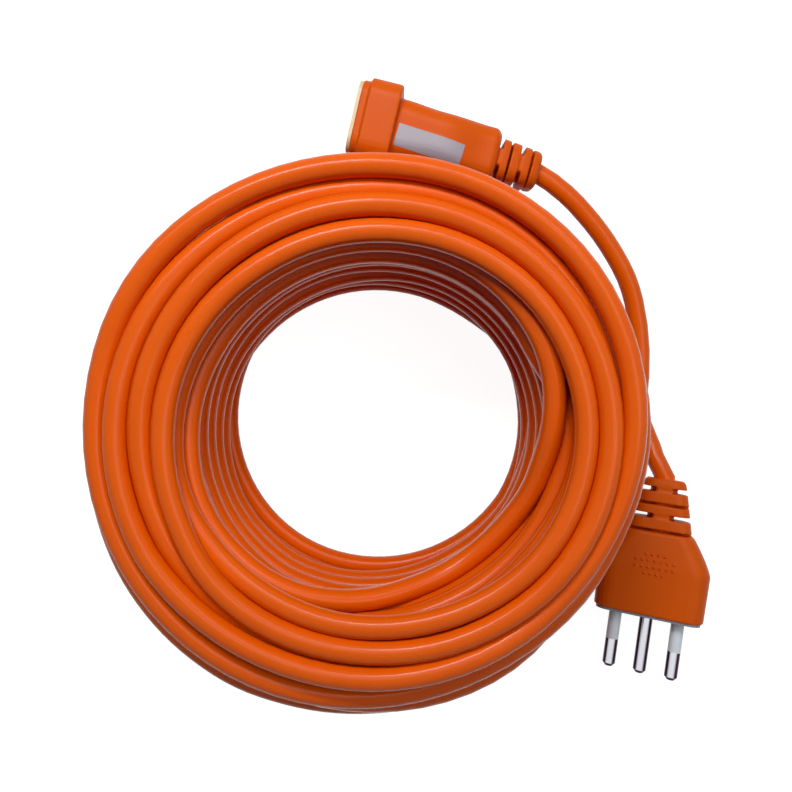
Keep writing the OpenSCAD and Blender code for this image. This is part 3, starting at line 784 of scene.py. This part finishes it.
def plastic(name, colour, darker, rough, grain, bump, metal=0.0, shine=0.5, rim=None):
    """A moulded or plated surface: a slow drift between two tones, a fine grain in height, and
    a roughness that varies a little. A rim colour, when given, darkens it where it turns away from
    the eye: this is a painted dark reflection, not a colour of the surface itself."""
    mat = bpy.data.materials.new(name)
    mat.use_nodes = True
    tree = mat.node_tree
    nodes, links = tree.nodes, tree.links
    shader = nodes["Principled BSDF"]
    place_at = nodes.new("ShaderNodeTexCoord").outputs["Object"]
    drift = noise(tree, place_at, DRIFT_SCALE, DRIFT_DETAIL)
    tone = mixed(tree, colour, darker, mapped(tree, drift, DRIFT_RANGE, (0, DRIFT_SHARE)))
    # The rim colour is a painted dark reflection on the edges that turn away from the eye.
    if rim is not None:
        painted_edge_facing = nodes.new("ShaderNodeLayerWeight")
        painted_edge_facing.inputs["Blend"].default_value = PAINTED_EDGE_BLEND
        tone = mixed(tree, tone, rim, mapped(tree, painted_edge_facing.outputs["Facing"], PAINTED_EDGE_RANGE))
    links.new(tone, shader.inputs["Base Color"])
    roughness = mapped(tree, drift, high=(rough - ROUGH_VARIES, rough + ROUGH_VARIES))
    links.new(roughness, shader.inputs["Roughness"])
    height = nodes.new("ShaderNodeBump")
    height.inputs["Strength"].default_value = bump
    height.inputs["Distance"].default_value = BUMP_DISTANCE
    links.new(noise(tree, place_at, grain, GRAIN_DETAIL), height.inputs["Height"])
    links.new(height.outputs["Normal"], shader.inputs["Normal"])
    shader.inputs["Metallic"].default_value = metal
    shader.inputs["Specular IOR Level"].default_value = shine
    return mat


CORD_PVC = plastic("cord_pvc", srgb(222, 90, 3), srgb(214, 80, 2), 0.22, 900, 0.12, shine=0.15)
MOULDED_PVC = plastic("moulded_pvc", srgb(210, 86, 4), srgb(202, 78, 2), 0.42, 2500, 0.3,
                      shine=0.12)
STICKER_FOIL = plastic("sticker", srgb(156, 149, 159), srgb(148, 141, 151), 0.4, 2500, 0.1)
PLUG_PLATE = plastic("plug_plate", srgb(128, 122, 132), srgb(116, 110, 120), 0.45, 2500, 0.2)
SOCKET_PLATE = plastic("socket_plate", srgb(214, 196, 156), srgb(204, 184, 142), 0.45, 2500, 0.2)
# The pins' darker edges come from the painted rim colour, a painted reflection.
NICKEL = plastic("nickel_pin", srgb(222, 222, 230), srgb(210, 210, 220), 0.14, 3000, 0.05,
                 metal=1.0, rim=PIN_PAINTED_EDGE_SHADE)
SLEEVE = plastic("white_sleeve", srgb(224, 232, 240), srgb(214, 224, 232), 0.35, 2000, 0.1)
BROWN = plastic("brown_core", srgb(105, 60, 30), srgb(95, 52, 26), 0.4, 1500, 0.1)
BLUE = plastic("blue_core", srgb(30, 85, 170), srgb(26, 76, 156), 0.4, 1500, 0.1)
GREEN = plastic("green_yellow_core", srgb(150, 185, 40), srgb(90, 150, 40), 0.4, 1500, 0.1)
DARK = plastic("dark_block", srgb(52, 52, 56), srgb(46, 46, 50), 0.5, 2000, 0.2)
IVORY = plastic("ivory_shutter", srgb(232, 226, 206), srgb(224, 216, 194), 0.45, 2000, 0.15)
STEEL = plastic("spring_steel", srgb(180, 180, 186), srgb(160, 160, 168), 0.25, 3000, 0.1,
                metal=1.0)
BRASS = plastic("contact_brass", srgb(214, 178, 104), srgb(200, 160, 90), 0.3, 3000, 0.1,
                metal=1.0)

NODE_MATERIALS = {
    "plug_face": PLUG_PLATE, "socket_face": SOCKET_PLATE,
    "line_pin": NICKEL, "neutral_pin": NICKEL, "earth_pin": NICKEL,
    "line_pin_sleeve": SLEEVE, "neutral_pin_sleeve": SLEEVE,
    "plug_line_core": BROWN, "plug_neutral_core": BLUE, "plug_earth_core": GREEN,
    "socket_line_core": BROWN, "socket_neutral_core": BLUE, "socket_earth_core": GREEN,
    "contact_block": DARK, "shutter": IVORY, "shutter_spring": STEEL,
    "line_contact": BRASS, "neutral_contact": BRASS, "earth_contact": BRASS,
}

# ---------- studio ----------


def area_light(name, at, towards, size, power):
    """A white rectangular lamp that faces a point."""
    data = bpy.data.lights.new(name, "AREA")
    data.shape = "RECTANGLE"
    data.size, data.size_y = size
    data.energy = power
    lamp = linked(name, data)
    lamp.location = at
    lamp.rotation_euler = (Vector(towards) - Vector(at)).to_track_quat("-Z", "Y").to_euler()


def mix_for_view(tree, seen, other, out):
    """Feeds out from seen for camera, glossy and transmission rays, and from other for the
    rays that light the object."""
    nodes, links = tree.nodes, tree.links
    ray, mix = nodes.new("ShaderNodeLightPath"), nodes.new("ShaderNodeMixShader")
    total = ray.outputs["Is Camera Ray"]
    for kind in ("Is Glossy Ray", "Is Transmission Ray"):
        add = nodes.new("ShaderNodeMath")
        add.use_clamp = True
        links.new(total, add.inputs[0])
        links.new(ray.outputs[kind], add.inputs[1])
        total = add.outputs["Value"]
    links.new(total, mix.inputs["Fac"])
    links.new(other, mix.inputs[1])
    links.new(seen, mix.inputs[2])
    links.new(mix.outputs["Shader"], out)


def make_world():
    """A world that looks white and lights the object only a little."""
    world = bpy.data.worlds.new("studio")
    bpy.context.scene.world = world
    world.use_nodes = True
    nodes = world.node_tree.nodes
    dim, white = nodes["Background"], nodes.new("ShaderNodeBackground")
    for background in (dim, white):
        background.inputs["Color"].default_value = WHITE
    dim.inputs["Strength"].default_value = AMBIENT
    mix_for_view(world.node_tree, white.outputs["Background"], dim.outputs["Background"],
                 nodes["World Output"].inputs["Surface"])


def floor_material():
    """A grey that looks white with the object's shadow on it, and glows for the eye only."""
    mat = bpy.data.materials.new("floor")
    mat.use_nodes = True
    nodes = mat.node_tree.nodes
    grey, pale = nodes["Principled BSDF"], nodes.new("ShaderNodeBsdfPrincipled")
    for bsdf in (grey, pale):
        bsdf.inputs["Base Color"].default_value = (FLOOR_GREY, FLOOR_GREY, FLOOR_GREY, 1)
        bsdf.inputs["Roughness"].default_value = FLOOR_ROUGH
    pale.inputs["Emission Color"].default_value = WHITE
    pale.inputs["Emission Strength"].default_value = FLOOR_LIFT
    mix_for_view(mat.node_tree, pale.outputs["BSDF"], grey.outputs["BSDF"],
                 nodes["Material Output"].inputs["Surface"])
    return mat


def make_floor():
    """A wide floor just below the object."""
    bm = bmesh.new()
    bmesh.ops.create_grid(bm, x_segments=1, y_segments=1, size=FLOOR_SIZE)
    mesh = bpy.data.meshes.new("floor")
    bm.to_mesh(mesh)
    bm.free()
    floor = linked("floor", mesh)
    floor.location.z = FLOOR_AT
    mesh.materials.append(floor_material())


# ---------- the object ----------

make_camera()

line = rounded_line(cord_line(), RING_SPACING)
cord = tube("cord", line, CORD_D / 2, CORD_SIDES)
plug_shell = plug_body()
socket_shell = socket_body()
dots = grip_dots(plug_shell)
sticker = blank_sticker(socket_shell)

for node, material in NODE_MATERIALS.items():
    for slot in frame["nodes"][node].material_slots:
        slot.material = material

for piece, material in ((cord, CORD_PVC), (plug_shell, MOULDED_PVC), (socket_shell, MOULDED_PVC),
                        (dots, MOULDED_PVC), (sticker, STICKER_FOIL)):
    piece.data.materials.clear()
    piece.data.materials.append(material)

for piece, slot_name, nodes in ((cord, "cord_pvc", ("cord_coil", "socket_tail", "plug_tail")),
                                (plug_shell, "moulded_pvc", ("plug_overmould",)),
                                (socket_shell, "moulded_pvc", ("socket_overmould",))):
    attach(piece, "cord_set")
    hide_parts(*nodes)
for piece in (dots, sticker):
    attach(piece, "cord_set")

bpy.context.scene.view_settings.view_transform = "Standard"
make_world()
for name, lamp in LAMPS.items():
    area_light(name, **lamp)
make_floor()
